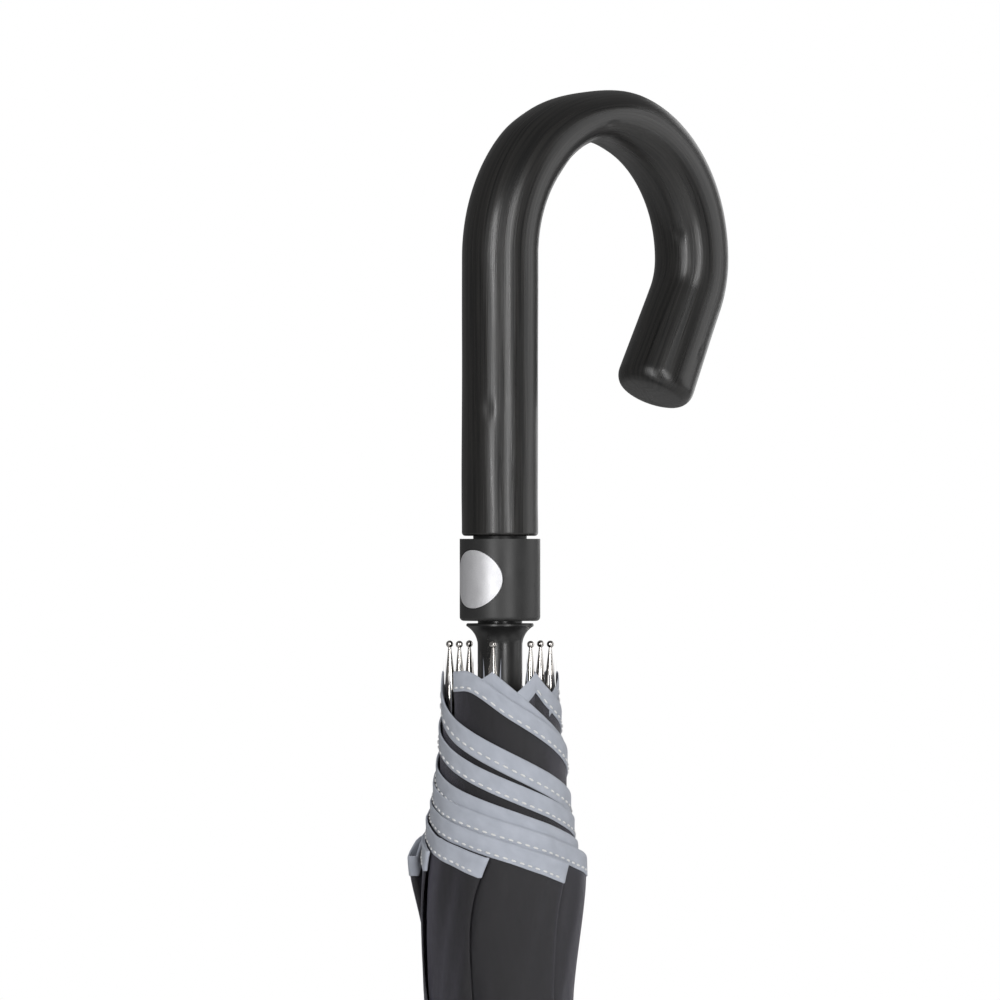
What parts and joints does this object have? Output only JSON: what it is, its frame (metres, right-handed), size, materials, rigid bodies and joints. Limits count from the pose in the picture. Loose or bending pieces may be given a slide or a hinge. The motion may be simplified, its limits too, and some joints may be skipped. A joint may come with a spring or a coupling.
{
  "type": "stick umbrella",
  "caption": "Rolled stick umbrella with a crook handle, push-button runner, folding rib frame and pleated canopy with a contrasting taped hem.",
  "frame": {"origin": "middle of the flat end face of the ferrule's tip cap", "axes": "+Z along the shaft towards the handle; the crook lies in the XZ plane with its hook towards +X; the button faces -X"},
  "size_m": [0.1346, 0.0572, 0.8434],
  "materials": {
    "shaft_steel": "black lacquered steel tube, satin",
    "ferrule_black": "black lacquer, satin",
    "tip_plastic": "matte black plastic, slightly scuffed",
    "nickel_steel": "bright nickel plate",
    "black_plastic": "moulded black nylon",
    "steel_wire": "drawn steel, zinc plated",
    "collar_plastic": "fine matte moulded black plastic",
    "lacquered_wood": "black lacquered bent wood, satin gloss with faint grain",
    "runner_plastic": "semi-gloss moulded black plastic",
    "satin_silver": "satin silver, fine brushed",
    "rib_steel": "black lacquered fluted steel",
    "canopy_fabric": "black pongee, fine plain weave, slight sheen",
    "hem_tape": "light blue-grey binding tape, matte",
    "stitch_thread": "off-white polyester thread"
  },
  "bodies": {
    "umbrella": {"shaft_tube": "shaft_steel", "ferrule": "ferrule_black", "ferrule_tip": "tip_plastic", "ferrule_cap": "nickel_steel", "crown": "black_plastic", "crown_wire": "steel_wire", "open_stop": "nickel_steel", "opening_spring": "steel_wire", "spring_stop_pin": "steel_wire", "handle_collar": "collar_plastic", "crook_handle": "lacquered_wood", "button_spring": "steel_wire"},
    "runner": {"runner": "runner_plastic", "runner_wire": "steel_wire", "runner_pin": "steel_wire", "spring_pusher": "black_plastic"},
    "button": {"push_button": "satin_silver", "latch_plate": "steel_wire"},
    "rib_1": {"rib_1": "rib_steel", "rib_tip_1": "nickel_steel"},
    "stretcher_1": {"stretcher_1": "rib_steel", "stretcher_rivet_1": "steel_wire"},
    "gore_1": {"gore_1": "canopy_fabric"},
    "rib_2": {"rib_2": "rib_steel", "rib_tip_2": "nickel_steel", "tie_strap": "canopy_fabric", "strap_snap": "nickel_steel"},
    "stretcher_2": {"stretcher_2": "rib_steel", "stretcher_rivet_2": "steel_wire"},
    "gore_2": {"gore_2": "canopy_fabric"},
    "rib_3": {"rib_3": "rib_steel", "rib_tip_3": "nickel_steel"},
    "stretcher_3": {"stretcher_3": "rib_steel", "stretcher_rivet_3": "steel_wire"},
    "gore_3": {"gore_3": "canopy_fabric"},
    "rib_4": {"rib_4": "rib_steel", "rib_tip_4": "nickel_steel"},
    "stretcher_4": {"stretcher_4": "rib_steel", "stretcher_rivet_4": "steel_wire"},
    "gore_4": {"gore_4": "canopy_fabric"},
    "rib_5": {"rib_5": "rib_steel", "rib_tip_5": "nickel_steel"},
    "stretcher_5": {"stretcher_5": "rib_steel", "stretcher_rivet_5": "steel_wire"},
    "gore_5": {"gore_5": "canopy_fabric"},
    "rib_6": {"rib_6": "rib_steel", "rib_tip_6": "nickel_steel"},
    "stretcher_6": {"stretcher_6": "rib_steel", "stretcher_rivet_6": "steel_wire"},
    "gore_6": {"gore_6": "canopy_fabric"},
    "rib_7": {"rib_7": "rib_steel", "rib_tip_7": "nickel_steel"},
    "stretcher_7": {"stretcher_7": "rib_steel", "stretcher_rivet_7": "steel_wire"},
    "gore_7": {"gore_7": "canopy_fabric"},
    "rib_8": {"rib_8": "rib_steel", "rib_tip_8": "nickel_steel"},
    "stretcher_8": {"stretcher_8": "rib_steel", "stretcher_rivet_8": "steel_wire"},
    "gore_8": {"gore_8": "canopy_fabric"}
  },
  "joints": [
    {"name": "runner_slide", "type": "slide", "parent": "umbrella", "child": "runner", "axis": [0, 0, -1], "range_m": [0, 0.3474], "deforming": ["opening_spring", "latch_plate", "tie_strap", "strap_snap"]},
    {"name": "button_press", "type": "slide", "parent": "umbrella", "child": "button", "axis": [1, 0, 0], "range_m": [0, 0.00135], "stiffness_N_per_m": 1500, "springref_m": -0.0005, "deforming": ["button_spring"]},
    {"name": "rib_1_spread", "type": "hinge", "parent": "umbrella", "child": "rib_1", "pos_m": [0.00655, 0.00459, 0.08], "axis": [-0.5736, 0.8192, 0], "range_deg": [0, 74.11]},
    {"name": "stretcher_1_fold", "type": "hinge", "parent": "rib_1", "child": "stretcher_1", "pos_m": [0.00733, 0.00513, 0.34502], "axis": [0.5736, -0.8192, 0], "range_deg": [0, 136.97]},
    {"name": "gore_1_unfold", "type": "hinge", "parent": "rib_1", "child": "gore_1", "pos_m": [0.00476, 0.00333, 0.07231], "axis": [-0.7878, -0.5516, 0.2739], "range_deg": [0, 45.01], "deforming": ["gore_1"]},
    {"name": "rib_2_spread", "type": "hinge", "parent": "umbrella", "child": "rib_2", "pos_m": [0.00139, 0.00788, 0.08], "axis": [-0.9848, 0.1736, 0], "range_deg": [0, 74.11]},
    {"name": "stretcher_2_fold", "type": "hinge", "parent": "rib_2", "child": "stretcher_2", "pos_m": [0.00155, 0.00881, 0.34502], "axis": [0.9848, -0.1736, 0], "range_deg": [0, 136.97]},
    {"name": "gore_2_unfold", "type": "hinge", "parent": "rib_2", "child": "gore_2", "pos_m": [0.00101, 0.00572, 0.07231], "axis": [-0.167, -0.9471, 0.2739], "range_deg": [0, 45.01], "deforming": ["gore_2"]},
    {"name": "rib_3_spread", "type": "hinge", "parent": "umbrella", "child": "rib_3", "pos_m": [-0.00459, 0.00655, 0.08], "axis": [-0.8192, -0.5736, 0], "range_deg": [0, 74.11]},
    {"name": "stretcher_3_fold", "type": "hinge", "parent": "rib_3", "child": "stretcher_3", "pos_m": [-0.00513, 0.00733, 0.34502], "axis": [0.8192, 0.5736, 0], "range_deg": [0, 136.97]},
    {"name": "gore_3_unfold", "type": "hinge", "parent": "rib_3", "child": "gore_3", "pos_m": [-0.00333, 0.00476, 0.07231], "axis": [0.5516, -0.7878, 0.2739], "range_deg": [0, 45.01], "deforming": ["gore_3"]},
    {"name": "rib_4_spread", "type": "hinge", "parent": "umbrella", "child": "rib_4", "pos_m": [-0.00788, 0.00139, 0.08], "axis": [-0.1736, -0.9848, 0], "range_deg": [0, 74.11]},
    {"name": "stretcher_4_fold", "type": "hinge", "parent": "rib_4", "child": "stretcher_4", "pos_m": [-0.00881, 0.00155, 0.34502], "axis": [0.1736, 0.9848, 0], "range_deg": [0, 136.97]},
    {"name": "gore_4_unfold", "type": "hinge", "parent": "rib_4", "child": "gore_4", "pos_m": [-0.00572, 0.00101, 0.07231], "axis": [0.9471, -0.167, 0.2739], "range_deg": [0, 45.01], "deforming": ["gore_4"]},
    {"name": "rib_5_spread", "type": "hinge", "parent": "umbrella", "child": "rib_5", "pos_m": [-0.00655, -0.00459, 0.08], "axis": [0.5736, -0.8192, 0], "range_deg": [0, 74.11]},
    {"name": "stretcher_5_fold", "type": "hinge", "parent": "rib_5", "child": "stretcher_5", "pos_m": [-0.00733, -0.00513, 0.34502], "axis": [-0.5736, 0.8192, 0], "range_deg": [0, 136.97]},
    {"name": "gore_5_unfold", "type": "hinge", "parent": "rib_5", "child": "gore_5", "pos_m": [-0.00476, -0.00333, 0.07231], "axis": [0.7878, 0.5516, 0.2739], "range_deg": [0, 45.01], "deforming": ["gore_5"]},
    {"name": "rib_6_spread", "type": "hinge", "parent": "umbrella", "child": "rib_6", "pos_m": [-0.00139, -0.00788, 0.08], "axis": [0.9848, -0.1736, 0], "range_deg": [0, 74.11]},
    {"name": "stretcher_6_fold", "type": "hinge", "parent": "rib_6", "child": "stretcher_6", "pos_m": [-0.00155, -0.00881, 0.34502], "axis": [-0.9848, 0.1736, 0], "range_deg": [0, 136.97]},
    {"name": "gore_6_unfold", "type": "hinge", "parent": "rib_6", "child": "gore_6", "pos_m": [-0.00101, -0.00572, 0.07231], "axis": [0.167, 0.9471, 0.2739], "range_deg": [0, 45.01], "deforming": ["gore_6"]},
    {"name": "rib_7_spread", "type": "hinge", "parent": "umbrella", "child": "rib_7", "pos_m": [0.00459, -0.00655, 0.08], "axis": [0.8192, 0.5736, 0], "range_deg": [0, 74.11]},
    {"name": "stretcher_7_fold", "type": "hinge", "parent": "rib_7", "child": "stretcher_7", "pos_m": [0.00513, -0.00733, 0.34502], "axis": [-0.8192, -0.5736, 0], "range_deg": [0, 136.97]},
    {"name": "gore_7_unfold", "type": "hinge", "parent": "rib_7", "child": "gore_7", "pos_m": [0.00333, -0.00476, 0.07231], "axis": [-0.5516, 0.7878, 0.2739], "range_deg": [0, 45.01], "deforming": ["gore_7"]},
    {"name": "rib_8_spread", "type": "hinge", "parent": "umbrella", "child": "rib_8", "pos_m": [0.00788, -0.00139, 0.08], "axis": [0.1736, 0.9848, 0], "range_deg": [0, 74.11]},
    {"name": "stretcher_8_fold", "type": "hinge", "parent": "rib_8", "child": "stretcher_8", "pos_m": [0.00881, -0.00155, 0.34502], "axis": [-0.1736, -0.9848, 0], "range_deg": [0, 136.97]},
    {"name": "gore_8_unfold", "type": "hinge", "parent": "rib_8", "child": "gore_8", "pos_m": [0.00572, -0.00101, 0.07231], "axis": [-0.9471, 0.167, 0.2739], "range_deg": [0, 45.01], "deforming": ["gore_8"]}
  ],
  "couplings": [
    {"joint": "rib_1_spread", "follows": "runner_slide", "rad_per_m": 3.7229},
    {"joint": "stretcher_1_fold", "follows": "runner_slide", "rad_per_m": 6.881},
    {"joint": "gore_1_unfold", "follows": "runner_slide", "rad_per_m": 2.2608},
    {"joint": "rib_2_spread", "follows": "runner_slide", "rad_per_m": 3.7229},
    {"joint": "stretcher_2_fold", "follows": "runner_slide", "rad_per_m": 6.881},
    {"joint": "gore_2_unfold", "follows": "runner_slide", "rad_per_m": 2.2608},
    {"joint": "rib_3_spread", "follows": "runner_slide", "rad_per_m": 3.7229},
    {"joint": "stretcher_3_fold", "follows": "runner_slide", "rad_per_m": 6.881},
    {"joint": "gore_3_unfold", "follows": "runner_slide", "rad_per_m": 2.2608},
    {"joint": "rib_4_spread", "follows": "runner_slide", "rad_per_m": 3.7229},
    {"joint": "stretcher_4_fold", "follows": "runner_slide", "rad_per_m": 6.881},
    {"joint": "gore_4_unfold", "follows": "runner_slide", "rad_per_m": 2.2608},
    {"joint": "rib_5_spread", "follows": "runner_slide", "rad_per_m": 3.7229},
    {"joint": "stretcher_5_fold", "follows": "runner_slide", "rad_per_m": 6.881},
    {"joint": "gore_5_unfold", "follows": "runner_slide", "rad_per_m": 2.2608},
    {"joint": "rib_6_spread", "follows": "runner_slide", "rad_per_m": 3.7229},
    {"joint": "stretcher_6_fold", "follows": "runner_slide", "rad_per_m": 6.881},
    {"joint": "gore_6_unfold", "follows": "runner_slide", "rad_per_m": 2.2608},
    {"joint": "rib_7_spread", "follows": "runner_slide", "rad_per_m": 3.7229},
    {"joint": "stretcher_7_fold", "follows": "runner_slide", "rad_per_m": 6.881},
    {"joint": "gore_7_unfold", "follows": "runner_slide", "rad_per_m": 2.2608},
    {"joint": "rib_8_spread", "follows": "runner_slide", "rad_per_m": 3.7229},
    {"joint": "stretcher_8_fold", "follows": "runner_slide", "rad_per_m": 6.881},
    {"joint": "gore_8_unfold", "follows": "runner_slide", "rad_per_m": 2.2608}
  ]
}
